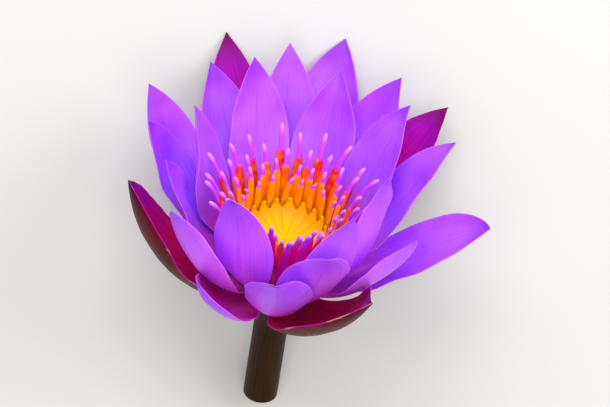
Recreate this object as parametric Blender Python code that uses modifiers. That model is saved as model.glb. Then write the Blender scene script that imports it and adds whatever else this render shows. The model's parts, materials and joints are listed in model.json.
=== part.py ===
"""Water lily flower with a short length of stem, picked and laid down.

The flower is designed upright around its own axis: +Z runs out of the mouth, +Y is the
side that ends up underneath, and the origin lies low inside the ring of stamens.  An empty
then lays the whole flower on the ground, which is the plane z = 0.
Lengths below are in millimetres and angles in degrees.
"""

import math
from collections import namedtuple

import bmesh
import bpy
from mathutils import Matrix, Vector

MM = 0.001
FLOWER = "water_lily_flower"

# ---- stem and receptacle; a profile is a list of (radius, height) from the bottom up ----
STEM_RADIUS = 5.6
STEM_END = -66.0
NECK = -26.0
STEM_SIDES = 24
RECEPTACLE_PROFILE = [(9.5, -19.0), (11.6, -15.0), (13.5, -11.0), (15.1, -7.0)]
SHOULDER = (17.9, -4.2)
TOP = (13.2, 1.4)
SEAT_RADIUS = 10.5
SEAT_HEIGHT = -3.0
SEAT_GAP = 0.3

# ---- stigma disc: a shallow dish whose rim carries one upturned lobe for each carpel;
# its profile runs from the foot out over the rim to the flat middle ----
CARPELS = 18
DISC_PROFILE = [(12.6, 1.8), (13.3, 5.4), (12.3, 5.7), (10.7, 4.4), (5.3, 2.2), (0.0, 2.2)]
LOBE_LINE = 5.0           # what lies above this height is drawn up into the lobes
LOBE_HEIGHT = 3.6
LOBE_BLUNTNESS = 0.7
STEPS_PER_LOBE = 4

# ---- petals and sepals ----
PETAL_THICKNESS = 0.7
SEPAL_THICKNESS = 0.9
PETAL_BASE = 0.3          # width of the base, of the full width
SEPAL_BASE = 0.5          # of the full width
TIP_WIDTH = 0.05          # of the full width
WIDEST_AT = 0.5           # of the length
BASE_SWELL = 1.3          # how slowly the base widens
TWIST_ONSET = 1.5         # how late the twist sets in
ACROSS, ALONG = 6, 12     # faces across and along one petal

# Where each ring's blades leave the receptacle: radius and height of the base
Ring = namedtuple("Ring", "radius height thickness base_width")
RINGS = {
    "inner": Ring(16.0, -7.0, PETAL_THICKNESS, PETAL_BASE),
    "middle": Ring(14.5, -11.0, PETAL_THICKNESS, PETAL_BASE),
    "outer": Ring(12.8, -15.0, PETAL_THICKNESS, PETAL_BASE),
    "sepal": Ring(10.5, -19.0, SEPAL_THICKNESS, SEPAL_BASE),
}

# azimuth: direction in plan, anticlockwise from +X.
# rise_base, rise_middle, rise_tip: slope of the midrib above the flower's plane.
# cup_base, cup_tip: how far each half is rolled inwards.
# twist, bend: turn of the tip about the midrib, and of the midrib sideways.
# taper: how blunt the upper half is.  point: 1 for a pointed tip, less for a rounded one.
Blade = namedtuple("Blade", (
    "name", "ring", "azimuth", "length", "width",
    "rise_base", "rise_middle", "rise_tip", "cup_base", "cup_tip", "twist", "bend", "taper",
    "point",
), defaults=(1,))
BLADES = [
    Blade("petal_inner_1", "inner", 43, 58, 23, 22, 68, 56, 8, 35, -12, -1, 2.1),
    Blade("petal_inner_2", "inner", 77, 56.5, 21.5, 17, 60, 62, 9, 35, -9, 4, 2),
    Blade("petal_inner_3", "inner", 112, 57, 21, 19, 60, 52, 9, 31, 5, -1, 2.2),
    Blade("petal_inner_4", "inner", 159, 53.5, 24.5, 35, 71, 70, 7, 36, 22, -6, 1.8),
    Blade("petal_inner_5", "inner", 244, 61, 23, 37, 77, 57, 6, 46, 4, -3, 2),
    Blade("petal_inner_6", "inner", 298, 62, 20.5, 36, 73, 70, 6, 25, 5, 6, 1.9),
    Blade("petal_inner_7", "inner", 336, 61, 22.5, 33, 82, 76, 16, 21, -8, 0, 2.2),
    Blade("petal_middle_1", "middle", 23, 64, 22.5, 23, 59, 52, 34, 31, -7, -4, 2.2),
    Blade("petal_middle_2", "middle", 63, 64.5, 24, 21, 49, 50, 34, 29, -3, -7, 2.1),
    Blade("petal_middle_3", "middle", 97, 66, 23, 14, 50, 57, 36, 26, 8, 2, 2.1),
    Blade("petal_middle_4", "middle", 162, 59.5, 20, 17, 55, 70, 41, 26, -8, 11, 2.6),
    Blade("petal_middle_5", "middle", 190, 55, 25, 37, 62, 73, 25, 25, -4, 0, 2),
    Blade("petal_middle_6", "middle", 224, 64, 24, 20, 61, 64, 36, 44, 13, 0, 2),
    Blade("petal_middle_7", "middle", 291, 62, 24, 30, 64, 51, 33, 46, -3, -6, 2.1),
    Blade("petal_middle_8", "middle", 331, 58.5, 24.5, 25, 55, 74, 32, 40, -13, -5, 2),
    Blade("petal_outer_1", "outer", 0, 67, 25.5, 16, 44, 38, 35, 22, 11, -12, 2.3, 0.75),
    Blade("petal_outer_2", "outer", 84, 74.5, 25, 18, 42, 41, 35, 14, 2, -5, 2.5),
    Blade("petal_outer_3", "outer", 118, 66.5, 23.5, 9, 40, 41, 35, 26, -1, 5, 2.1),
    Blade("petal_outer_4", "outer", 150, 68.5, 23, 11, 51, 54, 36, 19, -2, -5, 2.6),
    Blade("petal_outer_5", "outer", 240, 54, 26, 9, 45, 66, 40, 43, -30, 1, 1.5),
    Blade("petal_outer_6", "outer", 272, 66, 25, 18, 58, 42, 55, 44, 12, -5, 2.1),
    Blade("sepal_1", "sepal", 51, 74, 24.5, 11, 41, 38, 35, 30, 0, -6, 2.4),
    Blade("sepal_2", "sepal", 114, 79.5, 23.5, 13, 40, 43, 32, 18, -3, -2, 2.3),
    Blade("sepal_3", "sepal", 199, 75, 31, 8, 54, 79, 46, 54, -3, 3, 2.3),
    Blade("sepal_4", "sepal", 300, 63, 38, 12, 46, 68, 42, 50, 20, 12, 2.2),
]

# ---- stamens: flat straps in four whorls around the disc, rooted on the shoulder ----
# lean: angle off the flower's axis.  offset: turn of the whorl, in pitches.
Whorl = namedtuple("Whorl", "name radius length lean_root lean_tip width bundles offset")
WHORLS = [
    Whorl("stamen_outer", 17.3, 32.0, 8.0, 26.0, 3.3, 20, 0.0),
    Whorl("stamens_second", 16.2, 26.5, 6.0, 20.0, 3.1, 4, 0.5),
    Whorl("stamens_third", 15.15, 21.5, 4.0, 13.0, 2.7, 4, 0.0),
    Whorl("stamens_inner", 14.15, 16.5, 2.0, 6.0, 2.3, 4, 0.5),
]
# Above this height the petals hold in the stamens on the -Y side: they lose this share of
# their distance from the axis with every millimetre
HELD_IN_FROM, HELD_IN = 9.0, 0.0102
STAMENS_PER_WHORL = 20
STAMEN_THICKNESS = 0.6
STAMEN_ROWS = 5
STAMEN_TIP_WIDTH = 0.45   # of the full width
STAMEN_SPREAD = 0.06      # of the length, from one stamen to the next
STAMEN_RHYTHM = 2.4
FOOT_HEIGHT = 1.5

# ---- finishes: sRGB colour and roughness ----
Finish = namedtuple("Finish", "colour roughness")
STEM_FINISH = Finish("3A2608", 0.55)
DISC_FINISH = Finish("FFB000", 0.5)
STAMEN_FINISH = Finish("FF8A00", 0.5)
PETAL_FINISH = Finish("A83CF5", 0.45)
SEPAL_FINISH = Finish("6A0040", 0.45)

# ---- lying down: the direction that ends up pointing down, square to the plane through
# the three points that the flower rests on: the end of its stem and two blade tips ----
DOWN = Vector((-0.005, 0.828, -0.561))


# ---------------------------------------------------------------------------
# Materials, pieces and turned shapes


def new_material(name, finish):
    """A Principled material whose hex colour is turned from sRGB to linear."""
    channels = [int(finish.colour[i:i + 2], 16) / 255 for i in (0, 2, 4)]
    linear = [c / 12.92 if c <= 0.04045 else ((c + 0.055) / 1.055) ** 2.4 for c in channels]
    material = bpy.data.materials.new(name)
    material.use_nodes = True
    shader = material.node_tree.nodes["Principled BSDF"]
    shader.inputs["Base Color"].default_value = (*linear, 1.0)
    shader.inputs["Roughness"].default_value = finish.roughness
    shader.inputs["Metallic"].default_value = 0.0
    return material


def add_piece(name, bm, collection, carrier, finish):
    """Turn a bmesh in the flower's millimetres into a named object carried by the empty."""
    bmesh.ops.scale(bm, vec=(MM, MM, MM), verts=bm.verts)
    mesh = bpy.data.meshes.new(name)
    bm.to_mesh(mesh)
    bm.free()
    mesh.shade_smooth()
    mesh.materials.append(new_material(name + "_surface", finish))
    piece = bpy.data.objects.new(name, mesh)
    collection.objects.link(piece)
    piece.parent = carrier
    return piece


def thicken(piece, thickness):
    """Give an open sheet its wall, half on each side."""
    wall = piece.modifiers.new("wall", "SOLIDIFY")
    wall.thickness = thickness * MM
    wall.offset = 0.0


def turned(profile, steps):
    """A solid of revolution about Z from (radius, height) points listed bottom to top."""
    bm = bmesh.new()
    points = [(0.0, profile[0][1])] + profile
    verts = [bm.verts.new((radius, 0.0, height)) for radius, height in points]
    edges = [bm.edges.new(pair) for pair in zip(verts, verts[1:])]
    bmesh.ops.spin(
        bm, geom=verts + edges, axis=(0, 0, 1), cent=(0, 0, 0), angle=math.tau, steps=steps
    )
    bmesh.ops.remove_doubles(bm, verts=bm.verts, dist=0.001)
    bmesh.ops.recalc_face_normals(bm, faces=bm.faces)
    return bm


# ---------------------------------------------------------------------------
# Stem and stigma disc


def make_stem(collection, carrier):
    """The stem and the receptacle that it widens into, grown as one piece."""
    profile = [(STEM_RADIUS, STEM_END), (STEM_RADIUS, NECK)] + RECEPTACLE_PROFILE
    profile += [SHOULDER, TOP, (SEAT_RADIUS, TOP[1]), (SEAT_RADIUS, SEAT_HEIGHT), (0.0, SEAT_HEIGHT)]
    add_piece("stem", turned(profile, STEM_SIDES), collection, carrier, STEM_FINISH)


def make_stigma_disc(collection, carrier):
    """The dish of joined carpels, its rim drawn up into one rounded lobe for each of them."""
    foot_radius = SEAT_RADIUS - SEAT_GAP
    foot = [(foot_radius, SEAT_HEIGHT + SEAT_GAP), (foot_radius, DISC_PROFILE[0][1])]
    bm = turned(foot + DISC_PROFILE, CARPELS * STEPS_PER_LOBE)
    for vert in bm.verts:
        if vert.co.z > LOBE_LINE:
            angle = math.atan2(vert.co.y, vert.co.x)
            vert.co.z += LOBE_HEIGHT * abs(math.sin(angle * CARPELS / 2)) ** LOBE_BLUNTNESS
    add_piece("stigma_disc", bm, collection, carrier, DISC_FINISH)


# ---------------------------------------------------------------------------
# Petals and sepals


def cross_section(blade, ring, along, across):
    """Offsets from the midrib, sideways and inwards, of a point -1..1 across the blade."""
    if along < WIDEST_AT:
        swell = math.sin(math.pi / 2 * along / WIDEST_AT) ** BASE_SWELL
        width = ring.base_width + (1 - ring.base_width) * swell
    else:
        width = (1 - ((along - WIDEST_AT) / (1 - WIDEST_AT)) ** blade.taper) ** blade.point
    half_width = blade.width / 2 * max(width, TIP_WIDTH)
    roll = math.radians(blade.cup_base + (blade.cup_tip - blade.cup_base) * along)
    sideways = half_width * math.sin(roll * across) / roll
    inwards = half_width * (1 - math.cos(roll * across)) / roll
    return sideways, inwards


def midrib_direction(blade, along):
    """The midrib's direction: its slope runs through the blade's three rises."""
    rise = math.radians(
        blade.rise_base * (1 - along) * (1 - 2 * along)
        + blade.rise_middle * 4 * along * (1 - along)
        + blade.rise_tip * along * (2 * along - 1)
    )
    aside = math.radians(blade.bend) * along ** 2
    return Vector((
        math.cos(rise) * math.cos(aside),
        math.sin(aside),
        math.sin(rise) * math.cos(aside),
    ))


def blade_rows(blade, ring):
    """Rows of points from the base of the blade to its tip."""
    turn = Matrix.Rotation(math.radians(blade.azimuth), 3, "Z")
    step = blade.length / ALONG
    centre = Vector((ring.radius, 0.0, ring.height))
    rows = []
    for row in range(ALONG + 1):
        along = row / ALONG
        if row:
            before = midrib_direction(blade, along - 1 / ALONG)
            centre = centre + (before + midrib_direction(blade, along)) * step / 2
        direction = midrib_direction(blade, along)
        aside = math.radians(blade.bend) * along ** 2
        side = Vector((-math.sin(aside), math.cos(aside), 0.0))
        side = (side - direction * side.dot(direction)).normalized()
        inward = direction.cross(side)
        twist = math.radians(blade.twist) * along ** TWIST_ONSET
        side, inward = (
            side * math.cos(twist) + inward * math.sin(twist),
            inward * math.cos(twist) - side * math.sin(twist),
        )
        points = []
        for column in range(ACROSS + 1):
            sideways, inwards = cross_section(blade, ring, along, 2 * column / ACROSS - 1)
            points.append(turn @ (centre + side * sideways + inward * inwards))
        rows.append(points)
    return rows


def make_blade(blade, collection, carrier):
    """One petal or sepal: a flat grid laid along its curved midrib, then given its wall."""
    ring = RINGS[blade.ring]
    rows = blade_rows(blade, ring)
    bm = bmesh.new()
    bmesh.ops.create_grid(bm, x_segments=ACROSS, y_segments=ALONG, size=1.0)
    for vert in bm.verts:
        column = round((vert.co.x + 1) / 2 * ACROSS)
        row = round((vert.co.y + 1) / 2 * ALONG)
        vert.co = rows[row][column]
    finish = SEPAL_FINISH if blade.ring == "sepal" else PETAL_FINISH
    thicken(add_piece(blade.name, bm, collection, carrier, finish), ring.thickness)


# ---------------------------------------------------------------------------
# Stamens


def root_height(radius):
    """Height of a stamen's root: just clear of the cone between the shoulder and the top."""
    slope = (TOP[1] - SHOULDER[1]) / (SHOULDER[0] - TOP[0])
    inner_edge = radius - STAMEN_THICKNESS / 2
    return TOP[1] + (TOP[0] - inner_edge) * slope + SEAT_GAP


def stamen_point(whorl, reach, angle, sideways, along):
    """A point on a stamen: its line leans outwards more and more towards the tip."""
    lean = math.radians(whorl.lean_root + (whorl.lean_tip - whorl.lean_root) * along / 2)
    outwards = whorl.radius + reach * along * math.sin(lean)
    height = root_height(whorl.radius) + reach * along * math.cos(lean)
    point = Matrix.Rotation(angle, 3, "Z") @ Vector((outwards, sideways, height))
    if point.y < 0:
        point.y *= 1 - HELD_IN * max(0.0, height - HELD_IN_FROM)
    return point


def make_stamens(whorl, bundle, collection, carrier):
    """One bundle of a whorl: flat straps side by side that share a low foot."""
    straps = STAMENS_PER_WHORL // whorl.bundles
    pitch = math.tau / STAMENS_PER_WHORL
    bm = bmesh.new()
    bmesh.ops.create_grid(bm, x_segments=2 * straps - 1, y_segments=STAMEN_ROWS, size=1.0)
    between = []
    for face in bm.faces:
        centre = face.calc_center_median()
        column = int((centre.x + 1) / 2 * (2 * straps - 1))
        row = int((centre.y + 1) / 2 * STAMEN_ROWS)
        if column % 2 and row > 0:
            between.append(face)
    bmesh.ops.delete(bm, geom=between, context="FACES")
    for vert in bm.verts:
        line = round((vert.co.x + 1) / 2 * (2 * straps - 1))
        row = round((vert.co.y + 1) / 2 * STAMEN_ROWS)
        strap = bundle * straps + line // 2
        reach = whorl.length * (1 + STAMEN_SPREAD * math.sin(strap * STAMEN_RHYTHM))
        first = FOOT_HEIGHT / reach
        along = 0.0 if row == 0 else first + (1 - first) * (row - 1) / (STAMEN_ROWS - 1)
        narrowing = 1 - (1 - STAMEN_TIP_WIDTH) * along ** 2
        sideways = (line % 2 - 0.5) * whorl.width * narrowing
        angle = (strap + whorl.offset) * pitch
        vert.co = stamen_point(whorl, reach, angle, sideways, along)
    name = f"{whorl.name}_{bundle + 1:02d}" if straps == 1 else f"{whorl.name}_{bundle + 1}"
    thicken(add_piece(name, bm, collection, carrier, STAMEN_FINISH), STAMEN_THICKNESS)


# ---------------------------------------------------------------------------
# The whole flower


def lay_down(collection, carrier):
    """Turn the flower onto its back and put the middle of its underside on the origin."""
    up = -DOWN.normalized()
    back = Vector((0.0, 0.0, -1.0))
    back = (back - up * back.dot(up)).normalized()
    carrier.rotation_mode = "QUATERNION"
    carrier.rotation_quaternion = Matrix((back.cross(up), back, up)).to_quaternion()
    bpy.context.view_layer.update()
    depsgraph = bpy.context.evaluated_depsgraph_get()
    points = []
    for piece in collection.objects:
        if piece.type == "MESH":
            evaluated = piece.evaluated_get(depsgraph)
            points += [piece.matrix_world @ vert.co for vert in evaluated.data.vertices]
    low = Vector([min(point[axis] for point in points) for axis in range(3)])
    high = Vector([max(point[axis] for point in points) for axis in range(3)])
    carrier.location = (-(low.x + high.x) / 2, -(low.y + high.y) / 2, -low.z)


def main():
    for old in list(bpy.data.objects):
        bpy.data.objects.remove(old, do_unlink=True)
    collection = bpy.data.collections.new(FLOWER)
    bpy.context.scene.collection.children.link(collection)
    carrier = bpy.data.objects.new("flower_axis", None)
    collection.objects.link(carrier)
    make_stem(collection, carrier)
    make_stigma_disc(collection, carrier)
    for blade in BLADES:
        make_blade(blade, collection, carrier)
    for whorl in WHORLS:
        for bundle in range(whorl.bundles):
            make_stamens(whorl, bundle, collection, carrier)
    lay_down(collection, carrier)


main()
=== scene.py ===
"""Looks of the water lily flower: petals, sepals, stamens, stigma disc and stem.

Shapes are worked out in the flower's own frame, in millimetres: +Z runs out of the mouth,
+Y is the side that lies underneath, and the origin is low inside the ring of stamens.  One
matrix, found from the frame's stem, then lays every piece down where its CAD nodes are.
"""

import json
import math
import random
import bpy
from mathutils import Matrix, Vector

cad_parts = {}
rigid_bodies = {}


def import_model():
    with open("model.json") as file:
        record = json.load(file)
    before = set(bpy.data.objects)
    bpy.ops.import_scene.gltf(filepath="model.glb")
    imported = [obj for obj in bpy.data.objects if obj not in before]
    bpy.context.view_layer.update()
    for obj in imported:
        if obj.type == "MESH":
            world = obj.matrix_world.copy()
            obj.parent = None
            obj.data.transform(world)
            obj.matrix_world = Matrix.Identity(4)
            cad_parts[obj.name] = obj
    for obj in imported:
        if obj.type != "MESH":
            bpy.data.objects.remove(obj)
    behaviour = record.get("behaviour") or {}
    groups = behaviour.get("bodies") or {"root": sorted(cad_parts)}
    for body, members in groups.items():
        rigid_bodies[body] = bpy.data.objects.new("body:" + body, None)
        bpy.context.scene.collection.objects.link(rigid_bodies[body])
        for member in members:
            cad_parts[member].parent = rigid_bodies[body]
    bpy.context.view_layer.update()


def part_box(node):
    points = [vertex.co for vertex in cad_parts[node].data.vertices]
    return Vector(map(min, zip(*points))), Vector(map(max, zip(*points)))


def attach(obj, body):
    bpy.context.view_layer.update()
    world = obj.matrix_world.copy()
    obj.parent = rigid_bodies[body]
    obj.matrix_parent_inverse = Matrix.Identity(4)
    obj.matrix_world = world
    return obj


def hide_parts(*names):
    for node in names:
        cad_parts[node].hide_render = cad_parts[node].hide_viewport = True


bl_info = {
    "name": "Water Lily Flower",
    "version": (1, 0, 0),
    "blender": (4, 5, 0),
    "location": "View3D > Sidebar > Water Lily",
    "description": "Builds a water lily's petals, sepals, stamens, stigma disc and stem",
    "category": "Add Mesh",
}

from collections import namedtuple

import bpy
import numpy as np
from bpy.props import (
    FloatProperty, FloatVectorProperty, IntProperty, PointerProperty,
)
from mathutils import Matrix, Vector

for leftover in list(bpy.data.objects):
    bpy.data.objects.remove(leftover, do_unlink=True)
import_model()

MM = 0.001
SKIN_UV = "skin_map"

# --- The flower's plan, in millimetres and degrees, as the CAD has it ---

DOWN = Vector((-0.005, 0.828, -0.561))
STEM_PROFILE = [
    (5.6, -66.0), (5.6, -26.0), (9.5, -19.0), (11.6, -15.0), (13.5, -11.0), (15.1, -7.0),
    (17.9, -4.2), (13.2, 1.4),
]
CAD_STEM_SIDES = 24

TIP_WIDTH = 0.012         # of a blade's full width
WIDEST_AT = 0.5           # of its length
BASE_SWELL = 1.3          # how late it widens from its base
TWIST_ONSET = 1.5         # how late its twist sets in
MARGIN_THICKNESS = 0.3    # of the thickness at the midrib
TIP_THINNING = 0.45       # how much of the thickness is lost by the tip
MIDRIB_SPREAD = 0.07      # of half the width
MIDRIB_FURROW = 0.6       # depth on the inner face, of the midrib's height on the outer one

Ring = namedtuple("Ring", "radius height thickness base_width")
RINGS = {
    "inner": Ring(16.0, -7.0, 0.7, 0.3),
    "middle": Ring(14.5, -11.0, 0.7, 0.3),
    "outer": Ring(12.8, -15.0, 0.7, 0.3),
    "sepal": Ring(10.5, -19.0, 0.9, 0.5),
}
# The midrib climbs at three angles, rise_..., from base to tip, and bends aside by bend.  Each
# margin curls in by cup_... .  taper says how late the blade narrows, and point, if less than
# 1, how round its tip is.
Blade = namedtuple("Blade", (
    "name", "ring", "azimuth", "length", "width",
    "rise_base", "rise_middle", "rise_tip", "cup_base", "cup_tip", "twist", "bend", "taper",
    "point",
), defaults=(1,))
# Each ring's blades: azimuth, length, width and so on, in the order of Blade
PLAN = {
    "inner": [
        (43, 58, 23, 22, 68, 56, 8, 35, -12, -1, 2.1),
        (77, 56.5, 21.5, 17, 60, 62, 9, 35, -9, 4, 2),
        (112, 57, 21, 19, 60, 52, 9, 31, 5, -1, 2.2),
        (159, 53.5, 24.5, 35, 71, 70, 7, 36, 22, -6, 1.8),
        (244, 61, 23, 37, 77, 57, 6, 46, 4, -3, 2),
        (298, 62, 20.5, 36, 73, 70, 6, 25, 5, 6, 1.9),
        (336, 61, 22.5, 33, 82, 76, 16, 21, -8, 0, 2.2),
    ],
    "middle": [
        (23, 64, 22.5, 23, 59, 52, 34, 31, -7, -4, 2.2),
        (63, 64.5, 24, 21, 49, 50, 34, 29, -3, -7, 2.1),
        (97, 66, 23, 14, 50, 57, 36, 26, 8, 2, 2.1),
        (162, 59.5, 20, 17, 55, 70, 41, 26, -8, 11, 2.6),
        (190, 55, 25, 37, 62, 73, 25, 25, -4, 0, 2),
        (224, 64, 24, 20, 61, 64, 36, 44, 13, 0, 2),
        (291, 62, 24, 30, 64, 51, 33, 46, -3, -6, 2.1),
        (331, 58.5, 24.5, 25, 55, 74, 32, 40, -13, -5, 2),
    ],
    "outer": [
        (0, 67, 25.5, 16, 44, 38, 35, 22, 11, -12, 2.3, 0.75),
        (84, 74.5, 25, 18, 42, 41, 35, 14, 2, -5, 2.5),
        (118, 66.5, 23.5, 9, 40, 41, 35, 26, -1, 5, 2.1),
        (150, 68.5, 23, 11, 51, 54, 36, 19, -2, -5, 2.6),
        (240, 54, 26, 9, 45, 66, 40, 43, -30, 1, 1.5),
        (272, 66, 25, 18, 58, 42, 55, 44, 12, -5, 2.1),
    ],
    "sepal": [
        (51, 74, 24.5, 11, 41, 38, 35, 30, 0, -6, 2.4),
        (114, 79.5, 23.5, 13, 40, 43, 32, 18, -3, -2, 2.3),
        (199, 75, 31, 8, 54, 79, 46, 54, -3, 3, 2.3),
        (300, 63, 38, 12, 46, 68, 42, 50, 20, 12, 2.2),
    ],
}
BLADES = [
    Blade(f"sepal_{number}" if ring == "sepal" else f"petal_{ring}_{number}", ring, *numbers)
    for ring, blades in PLAN.items() for number, numbers in enumerate(blades, 1)
]

# tip_from: where the coloured tip of a stamen starts.  tip_curl: how far it leans out, in mm.
Whorl = namedtuple("Whorl", (
    "name", "radius", "length", "lean_root", "lean_tip", "width", "offset",
    "bundles", "tip_from", "tip_curl",
))
WHORLS = [
    Whorl("stamen_outer", 17.3, 32.0, 8.0, 26.0, 3.4, 0.0, 20, 0.76, 1.4),
    Whorl("stamens_second", 16.2, 26.5, 6.0, 20.0, 3.2, 0.5, 4, 0.79, 1.2),
    Whorl("stamens_third", 15.15, 21.5, 4.0, 13.0, 2.8, 0.0, 4, 0.83, 0.8),
    Whorl("stamens_inner", 14.15, 16.5, 2.0, 6.0, 2.4, 0.5, 4, 0.87, 0.3),
]
# Above this height the petals hold in the stamens on the -Y side: they lose this share of
# their distance from the axis with every millimetre
HELD_IN_FROM, HELD_IN = 9.0, 0.0102
STAMENS_PER_WHORL = 20
STAMEN_THICKNESS = 0.9
TIP_PLUMPNESS = 0.7       # how much thicker than its body a stamen's tip ends
ANTHER_HEIGHT = 0.22      # of the two pollen ridges
ANTHER_MIDDLE, ANTHER_REACH = 0.68, 0.3     # of the body below the tip
CARPELS = 18

# --- How fine each mesh is ---

BLADE_ROWS, BLADE_COLUMNS = 78, 46
STAMEN_ROWS, STAMEN_SIDES = 26, 18
CARPEL_ROWS, CARPEL_SIDES = 30, 14
STEM_SIDES = 120
VARIANTS = 5


# --- Colours, nodes and meshes ---


def hex_colour(text):
    """Linear RGB from an sRGB hex value."""
    channels = [int(text[i:i + 2], 16) / 255 for i in (0, 2, 4)]
    return tuple(c / 12.92 if c <= 0.04045 else ((c + 0.055) / 1.055) ** 2.4 for c in channels)


def opaque(colour):
    """RGBA from linear RGB or from an sRGB hex value."""
    return (*(hex_colour(colour) if isinstance(colour, str) else colour), 1.0)


def node(tree, kind, links=None, stops=None, **settings):
    """Add a node; a kind without "Node" in its name is a shader node.  settings go on the
    node itself, links gives each input a value, the socket that feeds it or a node whose
    first output does, and stops fills a colour ramp with (place, colour)."""
    made = tree.nodes.new(kind if "Node" in kind else "ShaderNode" + kind)
    for setting, value in settings.items():
        setattr(made, setting, value)
    for socket, value in (links or {}).items():
        if isinstance(value, bpy.types.Node):
            value = value.outputs[0]
        if isinstance(value, bpy.types.NodeSocket):
            tree.links.new(value, made.inputs[socket])
        else:
            made.inputs[socket].default_value = value
    if stops:
        elements = made.color_ramp.elements
        while len(elements) < len(stops):
            elements.new(1.0)
        for element, (place, colour) in zip(elements, stops):
            element.position = place
            element.color = opaque(colour)
    return made


def colour_choice(name, description, value):
    """A colour among the settings, whose default is an sRGB hex value."""
    return FloatVectorProperty(name=name, description=description, subtype="COLOR",
                               default=hex_colour(value), min=0, max=1)


def length_choice(name, description, default, least=0.0):
    """A length among the settings, its default and least value given in millimetres."""
    return FloatProperty(name=name, description=description, unit="LENGTH",
                         default=default * MM, min=least * MM)


def new_material(name):
    """An empty material with its shader and output; returns it with its tree and shader."""
    material = bpy.data.materials.new(name)
    material.use_nodes = True
    return material, material.node_tree, material.node_tree.nodes["Principled BSDF"]


def flower_place():
    """The matrix from the flower's frame to the row's, from the low corner of the CAD stem."""
    up = -DOWN.normalized()
    back = Vector((0.0, 0.0, -1.0))
    back = (back - up * back.dot(up)).normalized()
    turn = Matrix((back.cross(up), back, up))
    corners = []
    for radius, height in STEM_PROFILE:
        for side in range(CAD_STEM_SIDES):
            angle = math.tau * side / CAD_STEM_SIDES
            corner = Vector((radius * math.cos(angle), radius * math.sin(angle), height))
            corners.append(turn @ corner * MM)
    low = Vector([min(corner[axis] for corner in corners) for axis in range(3)])
    return Matrix.Translation(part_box("stem")[0] - low) @ turn.to_4x4()


FLOWER = flower_place()


def twisted(side, inward, angle):
    """Two directions across a piece, turned together about its length."""
    return (side * math.cos(angle) + inward * math.sin(angle),
            inward * math.cos(angle) - side * math.sin(angle))


def rounded_end(share, start, least):
    """How much of its width a piece keeps where its end rounds off, from start to its tip."""
    beyond = max(0.0, share - start) / (1 - start)
    return max(math.sqrt(max(0.0, 1 - beyond ** 2)), least)


def skin(name, loops, around, along):
    """A closed mesh over rows of closed loops of points, given in millimetres.  around is U
    at each point of a loop and at the return to the first, along is V at each loop."""
    rows, columns = len(loops), len(loops[0])
    faces, corners = [], []
    for row in range(rows - 1):
        here, above = row * columns, (row + 1) * columns
        for column in range(columns):
            following = (column + 1) % columns
            faces.append((here + column, here + following, above + following, above + column))
            left, right = around[column], around[column + 1]
            low, high = along[row], along[row + 1]
            corners += [(left, low), (right, low), (right, high), (left, high)]
    for start, value, first_cap in ((0, along[0], True), ((rows - 1) * columns, along[-1], False)):
        for column in range(columns // 2 - 1):
            quad = [column, column + 1, columns - 2 - column, columns - 1 - column]
            if first_cap:
                quad = [column + 1, column, columns - 1 - column, columns - 2 - column]
            faces.append(tuple(start + place for place in quad))
            corners += [(around[place], value) for place in quad]
    mesh = bpy.data.meshes.new(name)
    mesh.from_pydata((np.concatenate(loops) * MM).tolist(), [], faces)
    layer = mesh.uv_layers.new(name=SKIN_UV)
    layer.data.foreach_set("uv", np.array(corners, np.float32).ravel())
    if signed_volume(mesh) < 0:
        mesh.flip_normals()
    mesh.shade_smooth()
    return mesh


def signed_volume(mesh):
    """Volume inside a closed mesh: negative where its faces look inwards."""
    mesh.calc_loop_triangles()
    total = 0.0
    for triangle in mesh.loop_triangles:
        a, b, c = (mesh.vertices[index].co for index in triangle.vertices)
        total += a.dot(b.cross(c))
    return total / 6


def add_object(name, data):
    """An object for a mesh, lamp or camera, linked to the scene."""
    made = bpy.data.objects.new(name, data)
    bpy.context.scene.collection.objects.link(made)
    return made


def baked_mesh(carrier, helpers):
    """What an object's modifiers make of it, as one plain mesh; it and its helpers go."""
    depsgraph = bpy.context.evaluated_depsgraph_get()
    baked = bpy.data.meshes.new_from_object(
        carrier.evaluated_get(depsgraph), preserve_all_data_layers=True, depsgraph=depsgraph
    )
    for spent in helpers + [carrier]:
        bpy.data.objects.remove(spent, do_unlink=True)
    return baked


def add_piece(name, mesh, nodes=()):
    """Lay a mesh down in its place, fix it to the root body and hide the CAD nodes that it stands
    for.
    """
    mesh.transform(FLOWER)
    piece = add_object(name, mesh)
    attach(piece, "root")
    if nodes:
        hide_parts(*nodes)


def cut_corners(points, times):
    """A polyline with its corners cut several times over, its two ends kept."""
    points = np.array(points, float)
    for _ in range(times):
        near = points[:-1] * 0.75 + points[1:] * 0.25
        far = points[:-1] * 0.25 + points[1:] * 0.75
        between = np.stack([near, far], 1).reshape(-1, points.shape[1])
        points = np.concatenate([points[:1], between, points[-1:]])
    return points


def turned_loops(profile, sides, ribs=0, rib_height=0.0):
    """Rings of points about the flower's axis, lightly ribbed, from (radius, height) pairs."""
    angle = np.arange(sides) * math.tau / sides
    rib = rib_height * np.cos(ribs * angle)
    loops = []
    for radius, height in profile:
        ring = radius + rib * min(1.0, radius / STEM_PROFILE[0][0])
        loops.append(np.stack([ring * np.cos(angle), ring * np.sin(angle),
                               np.full(sides, height)], 1))
    return loops


def shares_along(points):
    """How far along a polyline each of its points lies, from 0 to 1."""
    steps = np.linalg.norm(np.diff(points, axis=0), axis=1)
    travelled = np.concatenate([[0.0], np.cumsum(steps)])
    return travelled / travelled[-1]


# --- Petals and sepals ---


def blade_width(blade, along):
    """Half the blade's width at a share of its length."""
    if along < WIDEST_AT:
        swell = math.sin(math.pi / 2 * along / WIDEST_AT) ** BASE_SWELL
        base = RINGS[blade.ring].base_width
        width = base + (1 - base) * swell
    else:
        width = (1 - ((along - WIDEST_AT) / (1 - WIDEST_AT)) ** blade.taper) ** blade.point
    return blade.width / 2 * max(width, TIP_WIDTH)


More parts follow.
